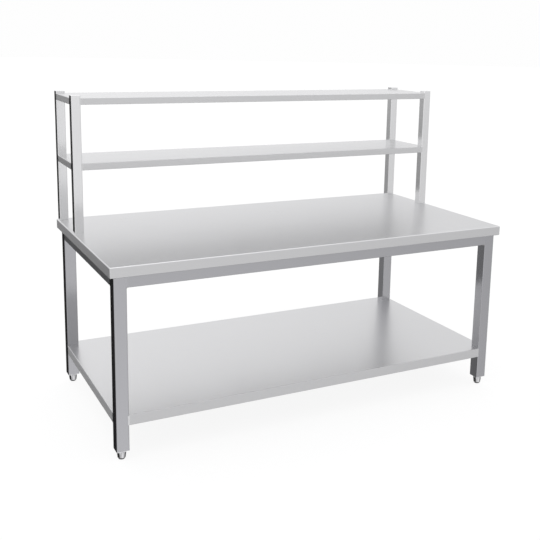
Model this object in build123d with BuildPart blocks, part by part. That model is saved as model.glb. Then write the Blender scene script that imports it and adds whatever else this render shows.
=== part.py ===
"""Stainless steel work table with an undershelf and a two-tier overshelf.

Millimetres, +Z up.  The origin is the middle of the footprint on the floor,
+X runs along the length to the right and +Y runs back to the overshelf.
"""

import os

from build123d import *

# Worktop: one folded sheet over a board, carried by hat channels
table_length = 2000
table_depth = 1000
worktop_height = 850
worktop_edge = 46
worktop_sheet = 1.5
worktop_bend = 5
worktop_lip = 18
core_thickness = 18
core_gap = 4
worktop_channel_positions = (-890, -445, 0, 445, 890)

# Base frame: square legs and rectangular rails, flush on their outer faces
overhang = 20
leg_width = 55
tube_wall = 1.5
tube_corner = 3
leg_bottom = 42
rail_height = 50
rail_thickness = 30

# Undershelf: a folded tray notched round the legs
undershelf_top = 200
undershelf_edge = 45
shelf_sheet = 1.2
shelf_bend = 3
shelf_lip = 12
undershelf_channel_positions = (-620, 0, 620)
bracket_arm = 40
bracket_thickness = 3

# Overshelf: four posts standing on the worktop, with two notched trays
post_width = 42
post_top = 1490
post_cap_height = 2
post_side_inset = 8
post_rear_inset = 4
overshelf_depth = 365
middle_shelf_top = 1177
top_shelf_top = 1478
shelf_edge = 31

# Hat channels, by their section
channel_sheet = 1.2
channel_bend = 2
channel_web = 50
channel_brim = 20
tray_channel_height = 22
shelf_channel_length = 1760

# Fixing angles and cleats, cut from one small angle section
angle_leg = 25
angle_thickness = 3
angle_length = 30

# Fasteners, as (shank diameter, width across flats, nut or head height)
post_stud = (10, 16, 8)
shelf_stud = (5, 8, 4)
undershelf_stud = (6, 10, 5)
worktop_screw = (6, 10, 4)
worktop_screw_length = 14
stud_beyond_nut = 3
hole_gap = 0.5
washer_thickness = 2
washer_diameter = 20
plug_height = 12
plug_gap = 0.2

# Adjustable feet: an insert in the leg, a bullet foot on a screw, a glide pad
collar_bottom = 34
collar_width = 54
collar_taper = 7
insert_height = 25
bush_diameter = 18
screw_diameter = 12
screw_running_gap = 0.08
screw_top = 79
foot_top_radius = 20
foot_bottom_radius = 17
foot_edge_round = 1
foot_bottom_round = 7
pad_height = 3
pad_radius = 14
pad_edge = 0.8
spigot_radius = 4
spigot_top = 10.5
spigot_gap = 0.1

# Worked-out sizes
worktop_under = worktop_height - worktop_edge
core_bottom = worktop_height - worktop_sheet - core_thickness
frame_length = table_length - 2 * overhang
frame_depth = table_depth - 2 * overhang
leg_x = (frame_length - leg_width) / 2
leg_y = (frame_depth - leg_width) / 2
leg_gap_x = leg_x - leg_width / 2
leg_gap_y = leg_y - leg_width / 2
overshelf_length = table_length - 2 * post_side_inset
overshelf_rear = table_depth / 2 - post_rear_inset
overshelf_middle_y = overshelf_rear - overshelf_depth / 2
post_x = (overshelf_length - post_width) / 2
post_ys = (
    overshelf_rear - overshelf_depth + post_width / 2,
    overshelf_rear - post_width / 2,
)
undershelf_under_sheet = undershelf_top - shelf_sheet

sides = {"left": -1, "right": 1}
ends = {"front": -1, "rear": 1}
leg_centres = [(sx * leg_x, sy * leg_y) for sx in sides.values() for sy in ends.values()]
post_centres = [(sx * post_x, y) for sx in sides.values() for y in post_ys]

os.makedirs("parts", exist_ok=True)


def save(piece, name):
    """Label a finished piece and write its STEP file."""
    piece.part.label = name
    export_step(piece.part, f"parts/{name}.step")


def tube(base, across, along, length):
    """A rounded rectangular tube standing on the base plane."""
    with BuildPart() as piece:
        with BuildSketch(base):
            RectangleRounded(across, along, tube_corner)
            RectangleRounded(
                across - 2 * tube_wall,
                along - 2 * tube_wall,
                tube_corner - tube_wall,
                mode=Mode.SUBTRACT,
            )
        extrude(amount=length)
    return piece


def folded_tray(base, length, depth, edge, sheet, bend, lip):
    """A sheet folded down on its four sides, with a return lip along each side."""
    with BuildPart() as piece:
        with BuildSketch(base):
            Rectangle(length, depth)
        extrude(amount=edge)
        top_edges = piece.faces().sort_by(Axis.Z)[-1].edges()
        fillet(top_edges + piece.edges().filter_by(Axis.Z), bend)
        offset(amount=-sheet, openings=piece.faces().sort_by(Axis.Z)[0])
        with BuildSketch(base):
            RectangleRounded(length, depth, bend)
            Rectangle(length - 2 * lip, depth - 2 * lip, mode=Mode.SUBTRACT)
        extrude(amount=sheet)
    return piece


def notched_tray(base, length, depth, edge, corners, notch):
    """A folded tray with a square notch at each corner for a leg or post."""
    tray = folded_tray(base, length, depth, edge, shelf_sheet, shelf_bend, shelf_lip)
    with BuildPart() as piece:
        add(tray.part)
        with BuildSketch(Plane.XY.offset(base.origin.Z - edge)):
            with Locations(*corners):
                Rectangle(notch, notch)
        extrude(amount=3 * edge, mode=Mode.SUBTRACT)
    return piece


def hat_channel(middle, height, length):
    """A hat channel, web down, with its brims level with the middle plane's origin."""
    half_web = (channel_web - channel_sheet) / 2
    brim_level = -channel_sheet / 2
    web_level = channel_sheet / 2 - height
    with BuildPart() as piece:
        with BuildSketch(middle):
            with BuildLine():
                FilletPolyline(
                    (-half_web - channel_brim, brim_level),
                    (-half_web, brim_level),
                    (-half_web, web_level),
                    (half_web, web_level),
                    (half_web, brim_level),
                    (half_web + channel_brim, brim_level),
                    radius=channel_bend,
                )
            trace(line_width=channel_sheet)
        extrude(amount=length / 2, both=True)
    return piece


def hex_nuts(heights, centres, size):
    """Hexagon nuts, each standing up from its height, at every centre."""
    with BuildPart() as piece:
        for height in heights:
            with BuildSketch(Plane.XY.offset(height)):
                with Locations(*centres):
                    RegularPolygon(size[1] / 2, 6, major_radius=False)
                    Circle(size[0] / 2 + hole_gap / 4, mode=Mode.SUBTRACT)
            extrude(amount=size[2])
    return piece


def weld_studs(tops, centres, size, plate):
    """Studs welded under a sheet, long enough for a plate and a nut."""
    length = plate + size[2] + stud_beyond_nut
    with BuildPart() as piece:
        for top in tops:
            with BuildSketch(Plane.XY.offset(top - length)):
                with Locations(*centres):
                    Circle(size[0] / 2)
            extrude(amount=length)
    return piece


# --- Worktop -----------------------------------------------------------------

skin = folded_tray(
    Plane.XY.offset(worktop_under),
    table_length,
    table_depth,
    worktop_edge,
    worktop_sheet,
    worktop_bend,
    worktop_lip,
)
with BuildPart() as worktop_skin:
    add(skin.part)
    with BuildSketch(Plane.XY.offset(core_bottom)):
        with Locations(*post_centres):
            Circle(post_stud[0] / 2 + hole_gap)
    extrude(amount=2 * core_thickness, mode=Mode.SUBTRACT)
save(worktop_skin, "worktop_skin")

core_margin = 2 * (worktop_sheet + core_gap)
with BuildPart() as worktop_core:
    with BuildSketch(Plane.XY.offset(core_bottom)):
        Rectangle(table_length - core_margin, table_depth - core_margin)
        with Locations(*post_centres):
            Circle(post_stud[0] / 2 + hole_gap, mode=Mode.SUBTRACT)
    extrude(amount=core_thickness)
save(worktop_core, "worktop_core")

# Hat channels run front to back and bear on the front and rear rails.
angle_y = frame_depth / 2 - rail_thickness - angle_leg / 2
worktop_channel_length = frame_depth - 2 * channel_bend
for number, x in enumerate(worktop_channel_positions, 1):
    channel = hat_channel(
        Plane(origin=(x, 0, core_bottom), x_dir=(1, 0, 0), z_dir=(0, -1, 0)),
        core_bottom - worktop_under,
        worktop_channel_length,
    )
    with BuildPart() as worktop_channel:
        add(channel.part)
        with BuildSketch(Plane.XY.offset(worktop_under)):
            with Locations((x, -angle_y), (x, angle_y)):
                Circle((worktop_screw[0] + hole_gap) / 2)
        extrude(amount=2 * channel_sheet, mode=Mode.SUBTRACT)
    save(worktop_channel, f"worktop_channel_{number}")

# An angle on the inner face of each long rail holds each channel down.
angle_centres = [(x, s * angle_y) for x in worktop_channel_positions for s in ends.values()]
upright_y = frame_depth / 2 - rail_thickness - angle_thickness / 2
upright_centres = [(x, s * upright_y) for x in worktop_channel_positions for s in ends.values()]
with BuildPart() as worktop_fixing_angles:
    with BuildSketch(Plane.XY.offset(worktop_under - angle_thickness)):
        with Locations(*angle_centres):
            Rectangle(angle_length, angle_leg)
            Circle((worktop_screw[0] + hole_gap) / 2, mode=Mode.SUBTRACT)
    extrude(amount=angle_thickness)
    with BuildSketch(Plane.XY.offset(worktop_under - angle_leg)):
        with Locations(*upright_centres):
            Rectangle(angle_length, angle_thickness)
    extrude(amount=angle_leg)
save(worktop_fixing_angles, "worktop_fixing_angles")

with BuildPart() as worktop_fixing_screws:
    head_bottom = worktop_under - angle_thickness - worktop_screw[2]
    with BuildSketch(Plane.XY.offset(head_bottom)):
        with Locations(*angle_centres):
            RegularPolygon(worktop_screw[1] / 2, 6, major_radius=False)
    extrude(amount=worktop_screw[2])
    with BuildSketch(Plane.XY.offset(head_bottom + worktop_screw[2])):
        with Locations(*angle_centres):
            Circle(worktop_screw[0] / 2)
    extrude(amount=worktop_screw_length)
save(worktop_fixing_screws, "worktop_fixing_screws")

# --- Base frame --------------------------------------------------------------

leg_length = worktop_under - leg_bottom
for end, sy in ends.items():
    for side, sx in sides.items():
        base = Plane(origin=(sx * leg_x, sy * leg_y, leg_bottom))
        save(tube(base, leg_width, leg_width, leg_length), f"leg_{end}_{side}")

rail_middle = worktop_under - rail_height / 2
for end, sy in ends.items():
    rail_y = sy * (frame_depth - rail_thickness) / 2
    base = Plane(origin=(-leg_gap_x, rail_y, rail_middle), x_dir=(0, 1, 0), z_dir=(1, 0, 0))
    save(tube(base, rail_thickness, rail_height, 2 * leg_gap_x), f"rail_{end}")
for side, sx in sides.items():
    rail_x = sx * (frame_length - rail_thickness) / 2
    base = Plane(origin=(rail_x, leg_gap_y, rail_middle), x_dir=(1, 0, 0), z_dir=(0, -1, 0))
    save(tube(base, rail_thickness, rail_height, 2 * leg_gap_y), f"rail_{side}")

# --- Undershelf --------------------------------------------------------------

undershelf_panel = notched_tray(
    Plane.XY.offset(undershelf_top - undershelf_edge),
    frame_length,
    frame_depth,
    undershelf_edge,
    leg_centres,
    leg_width,
)
save(undershelf_panel, "undershelf_panel")

undershelf_channel_length = frame_depth - 2 * (shelf_bend + 1)
for number, x in enumerate(undershelf_channel_positions, 1):
    middle = Plane(origin=(x, 0, undershelf_under_sheet), x_dir=(1, 0, 0), z_dir=(0, -1, 0))
    channel = hat_channel(middle, tray_channel_height, undershelf_channel_length)
    save(channel, f"undershelf_channel_{number}")

# Each leg carries a plate under the sheet, cut to fit round its inner corner.
bracket_outer_x = frame_length / 2 - shelf_bend
bracket_outer_y = frame_depth / 2 - shelf_bend
bracket_length_x = bracket_outer_x - leg_gap_x + bracket_arm
bracket_length_y = bracket_outer_y - leg_gap_y + bracket_arm
stud_reach = bracket_arm / 2
undershelf_stud_centres = []
for end, sy in ends.items():
    for side, sx in sides.items():
        bracket_studs = [
            (sx * (leg_gap_x - stud_reach), sy * leg_y),
            (sx * leg_x, sy * (leg_gap_y - stud_reach)),
        ]
        undershelf_stud_centres += bracket_studs
        with BuildPart() as bracket:
            with BuildSketch(Plane.XY.offset(undershelf_under_sheet - bracket_thickness)):
                with Locations(
                    (
                        sx * (bracket_outer_x - bracket_length_x / 2),
                        sy * (bracket_outer_y - bracket_length_y / 2),
                    )
                ):
                    Rectangle(bracket_length_x, bracket_length_y)
                with Locations((sx * leg_x, sy * leg_y)):
                    Rectangle(leg_width, leg_width, mode=Mode.SUBTRACT)
                with Locations(*bracket_studs):
                    Circle((undershelf_stud[0] + hole_gap) / 2, mode=Mode.SUBTRACT)
            extrude(amount=bracket_thickness)
        save(bracket, f"undershelf_bracket_{end}_{side}")

undershelf_studs = weld_studs(
    [undershelf_under_sheet],
    undershelf_stud_centres,
    undershelf_stud,
    bracket_thickness,
)
save(undershelf_studs, "undershelf_studs")
undershelf_nuts = hex_nuts(
    [undershelf_under_sheet - bracket_thickness - undershelf_stud[2]],
    undershelf_stud_centres,
    undershelf_stud,
)
save(undershelf_nuts, "undershelf_nuts")

# --- Overshelf ---------------------------------------------------------------

post_length = post_top - post_cap_height - worktop_height
for end, y in zip(ends, post_ys):
    for side, sx in sides.items():
        base = Plane(origin=(sx * post_x, y, worktop_height))
        save(tube(base, post_width, post_width, post_length), f"post_{end}_{side}")
        with BuildPart() as post_cap:
            with BuildSketch(Plane(origin=(sx * post_x, y, post_top - post_cap_height))):
                RectangleRounded(post_width, post_width, tube_corner)
            extrude(amount=post_cap_height)
            fillet(post_cap.faces().sort_by(Axis.Z)[-1].edges(), post_cap_height * 0.75)
        save(post_cap, f"post_cap_{end}_{side}")

# A plug welded in the foot of each post carries a stud through the worktop.
nut_bottom = core_bottom - washer_thickness - post_stud[2]
stud_bottom = nut_bottom - stud_beyond_nut
plug_width = post_width - 2 * tube_wall - 2 * plug_gap
with BuildPart() as post_base_studs:
    with BuildSketch(Plane.XY.offset(worktop_height)):
        with Locations(*post_centres):
            RectangleRounded(plug_width, plug_width, tube_corner - tube_wall)
    extrude(amount=plug_height)
    with BuildSketch(Plane.XY.offset(stud_bottom)):
        with Locations(*post_centres):
            Circle(post_stud[0] / 2)
    extrude(amount=worktop_height - stud_bottom)
save(post_base_studs, "post_base_studs")

with BuildPart() as post_base_washers:
    with BuildSketch(Plane.XY.offset(core_bottom - washer_thickness)):
        with Locations(*post_centres):
            Circle(washer_diameter / 2)
            Circle((post_stud[0] + hole_gap) / 2, mode=Mode.SUBTRACT)
    extrude(amount=washer_thickness)
save(post_base_washers, "post_base_washers")
save(hex_nuts([nut_bottom], post_centres, post_stud), "post_base_nuts")

shelf_tops = {"middle": middle_shelf_top, "top": top_shelf_top}
for level, top in shelf_tops.items():
    panel = notched_tray(
        Plane(origin=(0, overshelf_middle_y, top - shelf_edge)),
        overshelf_length,
        overshelf_depth,
        shelf_edge,
        post_centres,
        post_width,
    )
    save(panel, f"{level}_shelf_panel")
    channel = hat_channel(
        Plane(
            origin=(0, overshelf_middle_y, top - shelf_sheet),
            x_dir=(0, 1, 0),
            z_dir=(1, 0, 0),
        ),
        tray_channel_height,
        shelf_channel_length,
    )
    save(channel, f"{level}_shelf_channel")

# A cleat on the inner face of each post carries each shelf on a welded stud.
post_inner_x = post_x - post_width / 2
cleat_centres = [(s * (post_inner_x - angle_leg / 2), y) for s in sides.values() for y in post_ys]
cleat_uprights = [
    (s * (post_inner_x - angle_thickness / 2), y) for s in sides.values() for y in post_ys
]
shelf_under_sheets = [top - shelf_sheet for top in shelf_tops.values()]
with BuildPart() as shelf_cleats:
    for level in shelf_under_sheets:
        with BuildSketch(Plane.XY.offset(level - angle_thickness)):
            with Locations(*cleat_centres):
                Rectangle(angle_leg, angle_length)
                Circle((shelf_stud[0] + hole_gap) / 2, mode=Mode.SUBTRACT)
        extrude(amount=angle_thickness)
        with BuildSketch(Plane.XY.offset(level - angle_leg)):
            with Locations(*cleat_uprights):
                Rectangle(angle_thickness, angle_length)
        extrude(amount=angle_leg)
save(shelf_cleats, "shelf_cleats")
save(weld_studs(shelf_under_sheets, cleat_centres, shelf_stud, angle_thickness), "shelf_studs")
nut_levels = [level - angle_thickness - shelf_stud[2] for level in shelf_under_sheets]
save(hex_nuts(nut_levels, cleat_centres, shelf_stud), "shelf_nuts")

# --- Adjustable feet ---------------------------------------------------------

insert_width = leg_width - 2 * tube_wall - 2 * plug_gap
insert_top = leg_bottom + insert_height
with BuildPart() as thread_bushes:
    with BuildSketch(Plane.XY.offset(collar_bottom)):
        with Locations(*leg_centres):
            Circle(bush_diameter / 2)
            Circle(screw_diameter / 2 + screw_running_gap, mode=Mode.SUBTRACT)
    extrude(amount=insert_top - collar_bottom)
save(thread_bushes, "thread_bushes")

for end, sy in ends.items():
    for side, sx in sides.items():
        x = sx * leg_x
        y = sy * leg_y
        axis = Axis((x, y, 0), (0, 0, 1))
        upright = Plane(origin=(x, y, 0), x_dir=(1, 0, 0), z_dir=(0, -1, 0))

        with BuildPart() as leg_insert:
            with BuildSketch(Plane(origin=(x, y, collar_bottom))):
                Rectangle(collar_width, collar_width)
            extrude(amount=leg_bottom - collar_bottom)
            chamfer(leg_insert.faces().sort_by(Axis.Z)[0].edges(), collar_taper)
            with BuildSketch(Plane(origin=(x, y, leg_bottom))):
                RectangleRounded(insert_width, insert_width, tube_corner - tube_wall)
            extrude(amount=insert_height)
            with BuildSketch(Plane(origin=(x, y, collar_bottom))):
                Circle(bush_diameter / 2 + screw_running_gap)
            extrude(amount=insert_top - collar_bottom, mode=Mode.SUBTRACT)
        save(leg_insert, f"leg_insert_{end}_{side}")

        with BuildPart() as foot:
            with BuildSketch(upright):
                with BuildLine():
                    FilletPolyline(
                        (screw_diameter / 2, screw_top),
                        (screw_diameter / 2, collar_bottom),
                        (foot_top_radius, collar_bottom),
                        (foot_bottom_radius, pad_height),
                        (spigot_radius + spigot_gap, pad_height),
                        radius=(0, foot_edge_round, foot_bottom_round),
                    )
                    Polyline(
                        (spigot_radius + spigot_gap, pad_height),
                        (spigot_radius + spigot_gap, spigot_top + spigot_gap),
                        (0, spigot_top + spigot_gap),
                        (0, screw_top),
                        (screw_diameter / 2, screw_top),
                    )
                make_face()
            revolve(axis=axis)
        save(foot, f"foot_{end}_{side}")

        with BuildPart() as glide_pad:
            with BuildSketch(upright):
                with BuildLine():
                    Polyline(
                        (0, 0),
                        (pad_radius - pad_edge, 0),
                        (pad_radius, pad_edge),
                        (pad_radius, pad_height),
                        (spigot_radius, pad_height),
                        (spigot_radius, spigot_top),
                        (0, spigot_top),
                        close=True,
                    )
                make_face()
            revolve(axis=axis)
        save(glide_pad, f"glide_pad_{end}_{side}")
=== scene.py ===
"""Stainless steel work table: its pieces, finishes, studio and camera, on the CAD frame."""

import math

import bmesh
import bpy
from bpy.props import FloatProperty, FloatVectorProperty, IntProperty, PointerProperty
from mathutils import Matrix, Vector


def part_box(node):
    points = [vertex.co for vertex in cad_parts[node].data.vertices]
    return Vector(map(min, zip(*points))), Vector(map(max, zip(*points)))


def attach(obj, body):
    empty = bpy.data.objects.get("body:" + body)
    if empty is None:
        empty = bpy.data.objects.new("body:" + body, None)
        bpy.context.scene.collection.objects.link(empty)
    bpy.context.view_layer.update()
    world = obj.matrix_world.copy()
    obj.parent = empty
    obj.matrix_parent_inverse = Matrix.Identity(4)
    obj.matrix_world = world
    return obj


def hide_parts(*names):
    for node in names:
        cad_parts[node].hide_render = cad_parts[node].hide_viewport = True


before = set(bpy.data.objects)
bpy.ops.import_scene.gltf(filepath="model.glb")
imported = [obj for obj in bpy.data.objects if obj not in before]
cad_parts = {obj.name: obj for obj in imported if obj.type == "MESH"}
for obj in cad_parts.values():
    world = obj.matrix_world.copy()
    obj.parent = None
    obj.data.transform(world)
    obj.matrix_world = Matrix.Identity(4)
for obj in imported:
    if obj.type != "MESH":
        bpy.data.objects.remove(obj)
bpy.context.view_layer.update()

bl_info = {
    "name": "Stainless Work Table",
    "version": (1, 0, 0),
    "blender": (4, 5, 0),
    "location": "3D View > Sidebar > Work Table",
    "description": "Builds the pieces, finishes and studio of a stainless work table",
    "category": "Object",
}

BODY = "frame"
CORNERS = ("front_left", "front_right", "rear_left", "rear_right")
X_AXIS = Vector((1, 0, 0))
Y_AXIS = Vector((0, 1, 0))
Z_AXIS = Vector((0, 0, 1))
FULL_TURN = 2 * math.pi


def corner_signs(corner):
    """The x and y side, as -1 or 1, of a corner such as front_left."""
    return (-1 if "left" in corner else 1), (-1 if "front" in corner else 1)


def middle_of(node):
    """The middle of a CAD node's box."""
    low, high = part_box(node)
    return (low + high) / 2


def plan_corners(node, sx, sy):
    """The outer and inner plan corners of a node's box, on the side that the signs give."""
    low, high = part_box(node)
    outer = Vector((high.x if sx > 0 else low.x, high.y if sy > 0 else low.y, 0))
    inner = Vector((low.x if sx > 0 else high.x, low.y if sy > 0 else high.y, 0))
    return outer, inner


# --- Settings -------------------------------------------------------------------


def length_setting(name, description, default):
    """A length, in metres."""
    return FloatProperty(name=name, description=description, default=default, unit="LENGTH")


def colour_setting(name, description, default):
    """A linear colour."""
    return FloatVectorProperty(
        name=name, description=description, default=default, subtype="COLOR"
    )


def light_setting(name, description, default):
    """A brightness, never below zero."""
    return FloatProperty(name=name, description=description, default=default, min=0.0)


def angle_setting(name, description, default):
    """An angle, in radians."""
    return FloatProperty(name=name, description=description, default=default, subtype="ANGLE")


class SheetSizes(bpy.types.PropertyGroup):
    """Sizes of the folded sheets and the tubes."""

    worktop_sheet: length_setting("Worktop Sheet", "Thickness of the worktop sheet", 0.0015)
    worktop_bend: length_setting("Worktop Bend", "Outer radius of the worktop's bends", 0.005)
    worktop_lip: length_setting("Worktop Lip", "Width of the lip under the worktop's edge", 0.018)
    shelf_sheet: length_setting("Shelf Sheet", "Thickness of the shelves' sheets", 0.0012)
    shelf_bend: length_setting("Shelf Bend", "Outer radius of the shelves' bends", 0.003)
    shelf_lip: length_setting("Shelf Lip", "Width of the lip under the shelves' edges", 0.012)
    tube_wall: length_setting("Tube Wall", "Wall thickness of legs, rails and posts", 0.0015)
    tube_corner: length_setting("Tube Corner", "Outer corner radius of the tubes", 0.003)
    bend_steps: IntProperty(
        name="Bend Steps",
        description="Facets in each quarter-round bend",
        default=7,
        min=3,
        max=16,
    )


class FastenerSizes(bpy.types.PropertyGroup):
    """Sizes of the screw threads and welds."""

    foot_thread: length_setting("Foot Thread", "Major diameter of the foot screw", 0.012)
    foot_pitch: length_setting("Foot Pitch", "Distance between threads on the foot screw", 0.00175)
    weld_width: length_setting("Weld Width", "Width of a fillet weld bead", 0.0045)
    weld_ripple: length_setting("Weld Ripple", "Distance between the ripples of a bead", 0.0018)


class FinishColours(bpy.types.PropertyGroup):
    """Base colours of the finishes, as linear colour."""

    sheet: colour_setting("Satin Sheet", "Worktop, undershelf and shelves", (0.76, 0.76, 0.765))
    frame_tube: colour_setting("Frame Tube", "Legs and rails", (0.52, 0.52, 0.54))
    post_tube: colour_setting("Post Tube", "Overshelf posts", (0.92, 0.92, 0.925))
    mill: colour_setting("Mill Sheet", "Channels, angles, cleats and brackets", (0.56, 0.56, 0.57))
    polished: colour_setting("Polished Foot", "Bullet feet", (0.66, 0.66, 0.67))
    insert: colour_setting("Leg Insert", "Collars between legs and feet", (0.88, 0.88, 0.89))
    core: colour_setting("Core Board", "Paper face of the worktop's board", (0.80, 0.80, 0.80))
    pad: colour_setting("Glide Pad", "Moulded pads under the feet", (0.035, 0.035, 0.038))


class StudioSettings(bpy.types.PropertyGroup):
    """Light, floor and camera."""

    ambient: light_setting("Ambient", "Even light from all round", 0.62)
    overhead: light_setting("Overhead", "Extra light from straight above", 0.85)
    front_light: light_setting("Front Light", "Extra light from the working side", 0.17)
    low_light: light_setting("Low Light", "Extra light from low on the working side", 0.8)
    back_light: light_setting("Back Light", "Extra light from behind the table", 0.32)
    corner_light: light_setting("Corner Light", "Extra light on the front left corner", 0.60)
    horizon: light_setting("Horizon", "Extra light in a band at the horizon", 0.40)
    backdrop: light_setting("Backdrop", "Brightness of the backdrop behind the table", 0.99)
    focal_length: FloatProperty(
        name="Focal Length",
        description="Camera focal length in millimetres on a 36 mm sensor",
        default=55.76,
        unit="CAMERA",
    )
    camera_place: FloatVectorProperty(
        name="Camera Place",
        description="Where the camera stands",
        default=(-1.8339, -3.6875, 1.7637),
        subtype="TRANSLATION",
        unit="LENGTH",
    )
    camera_turn: angle_setting("Camera Turn", "Turn to the right of straight ahead", 0.4817)
    camera_tilt: angle_setting("Camera Tilt", "Tilt of the camera below level", 0.1867)
    camera_roll: angle_setting("Camera Roll", "Roll of the camera about its own axis", 0.0209)
    camera_shift: FloatVectorProperty(
        name="Camera Shift",
        description="Sideways and upward shift of the lens",
        default=(-0.0490, -0.1366),
        size=2,
    )


class WorkTableSettings(bpy.types.PropertyGroup):
    """Everything that a user would change."""

    sheets: PointerProperty(type=SheetSizes)
    fasteners: PointerProperty(type=FastenerSizes)
    colours: PointerProperty(type=FinishColours)
    studio: PointerProperty(type=StudioSettings)


def settings():
    """The scene's work table settings."""
    return bpy.context.scene.work_table


# --- Shader maths -----------------------------------------------------------------


class Value:
    """One socket of a node tree, with arithmetic that adds Math nodes."""

    def __init__(self, shader, socket):
        self.shader = shader
        self.socket = socket

    def math(self, operation, *others):
        """A Math node with this socket first."""
        inputs = {0: self}
        for number, other in enumerate(others, 1):
            inputs[number] = other
        return self.shader.node("ShaderNodeMath", {"operation": operation}, inputs)

    def reflected(self, operation, other):
        """A Math node with this socket second."""
        return self.shader.node("ShaderNodeMath", {"operation": operation}, {0: other, 1: self})

    def __add__(self, other):
        return self.math("ADD", other)

    def __radd__(self, other):
        return self.reflected("ADD", other)

    def __sub__(self, other):
        return self.math("SUBTRACT", other)

    def __rsub__(self, other):
        return self.reflected("SUBTRACT", other)

    def __mul__(self, other):
        return self.math("MULTIPLY", other)

    def __rmul__(self, other):
        return self.reflected("MULTIPLY", other)

    def __pow__(self, other):
        return self.math("POWER", other)

    def __rpow__(self, other):
        return self.reflected("POWER", other)


class Shader:
    """A node tree under construction."""

    def __init__(self, tree):
        self.tree = tree
        tree.nodes.clear()

    def node(self, kind, options=None, inputs=None, output=0):
        """Adds a node, sets its options, then its sockets, and returns one of its outputs."""
        node = self.tree.nodes.new(kind)
        for name, value in (options or {}).items():
            setattr(node, name, value)
        for name, value in (inputs or {}).items():
            socket = self.find(node.inputs, name)
            if isinstance(value, Value):
                self.tree.links.new(value.socket, socket)
            else:
                socket.default_value = value
        if not node.outputs:
            return None
        return Value(self, self.find(node.outputs, output))

    @staticmethod
    def find(sockets, name):
        """A socket by its place in the list, or the one in use by its name."""
        if isinstance(name, int):
            return sockets[name]
        return next(socket for socket in sockets if socket.name == name and socket.enabled)

    def place(self):
        """The object's own coordinates, in metres."""
        return self.node("ShaderNodeTexCoord", output="Object")

    def scaled(self, vector, scale):
        """A vector multiplied by a scale for each axis."""
        options = {"operation": "MULTIPLY"}
        return self.node("ShaderNodeVectorMath", options, {0: vector, 1: scale})

    def noise(self, vector, scale, detail, roughness):
        """Fractal noise from 0 to 1."""
        inputs = {"Vector": vector, "Scale": scale, "Detail": detail, "Roughness": roughness}
        return self.node("ShaderNodeTexNoise", {}, inputs)

    def mix_colour(self, factor, first, second):
        """A Mix node on two colours."""
        inputs = {"Factor": factor, "A": first, "B": second}
        return self.node("ShaderNodeMix", {"data_type": "RGBA"}, inputs, output="Result")

    def between(self, value, low, high):
        """A smooth step from 0 to 1 as value goes from low to high."""
        return self.node(
            "ShaderNodeMapRange",
            {"interpolation_type": "SMOOTHSTEP"},
            {"Value": value, "From Min": low, "From Max": high},
        )

    def attribute(self, name):
        """A number painted on the mesh."""
        return self.node("ShaderNodeAttribute", {"attribute_name": name}, output="Fac")

    def bump(self, height, distance, strength):
        """A bumped normal."""
        inputs = {"Height": height, "Distance": distance, "Strength": strength}
        return self.node("ShaderNodeBump", {}, inputs)


def grey(level):
    """A grey as RGBA."""
    return (level, level, level, 1.0)


def colour_of(colour, factor=1.0):
    """A settings colour as RGBA, lightened or darkened by a factor."""
    return tuple(min(1.0, channel * factor) for channel in colour) + (1.0,)


def principled(name, inputs):
    """A material with one Principled shader, made from a function of its Shader."""
    material = bpy.data.materials.new(name)
    material.use_nodes = True
    shader = Shader(material.node_tree)
    surface = shader.node("ShaderNodeBsdfPrincipled", {}, inputs(shader))
    shader.node("ShaderNodeOutputMaterial", {}, {"Surface": surface})
    return material


# --- Finishes -----------------------------------------------------------------------

GRAIN_ALONG = {"x": (1.6, 420, 420), "y": (420, 1.6, 420), "z": (420, 420, 1.6)}
FINE_GRAIN = {"x": (5, 1500, 1500), "y": (1500, 5, 1500), "z": (1500, 1500, 5)}


def brushed_steel(name, colour, grain, roughness, fold_dullness=0.18):
    """Satin stainless steel with its grain along one axis, worn edges and duller folds."""

    def inputs(shader):
        place = shader.place()
        coarse = shader.noise(shader.scaled(place, GRAIN_ALONG[grain]), 1.0, 3.0, 0.6)
        fine = shader.noise(shader.scaled(place, FINE_GRAIN[grain]), 1.0, 2.0, 0.5)
        clouds = shader.noise(place, 2.3, 3.0, 0.55)
        handling = shader.noise(place, 11.0, 4.0, 0.6)
        worn = shader.attribute("worn_edge")
        streak = coarse * 0.6 + fine * 0.4
        tone = streak * 0.09 + clouds * 0.05 + worn * 0.25 + 0.05
        tint = shader.between(tone, 0.0, 0.5)
        base = shader.mix_colour(tint, colour_of(colour, 0.93), colour_of(colour, 1.08))
        sheen = roughness + (streak - 0.5) * 0.08 + (clouds - 0.5) * 0.04
        smears = shader.between(handling, 0.56, 0.74) * 0.02
        rough = sheen + smears - worn * 0.10 + shader.attribute("folded_side") * fold_dullness
        return {
            "Base Color": base,
            "Metallic": 1.0,
            "Roughness": rough,
            "Normal": shader.bump(streak, 0.00001, 0.2),
        }

    return principled(name, inputs)


def mill_steel(name, colour):
    """Unbrushed sheet as it leaves the mill, slightly mottled, with a faint rolling grain."""

    def inputs(shader):
        place = shader.place()
        mottle = shader.noise(place, 60.0, 5.0, 0.65)
        rolling = shader.noise(shader.scaled(place, (300, 8, 300)), 1.0, 2.0, 0.5)
        base = shader.mix_colour(mottle, colour_of(colour, 0.88), colour_of(colour, 1.1))
        return {
            "Base Color": base,
            "Metallic": 1.0,
            "Roughness": 0.36 + mottle * 0.16 + rolling * 0.06,
            "Normal": shader.bump(mottle + rolling, 0.00008, 0.3),
        }

    return principled(name, inputs)


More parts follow.
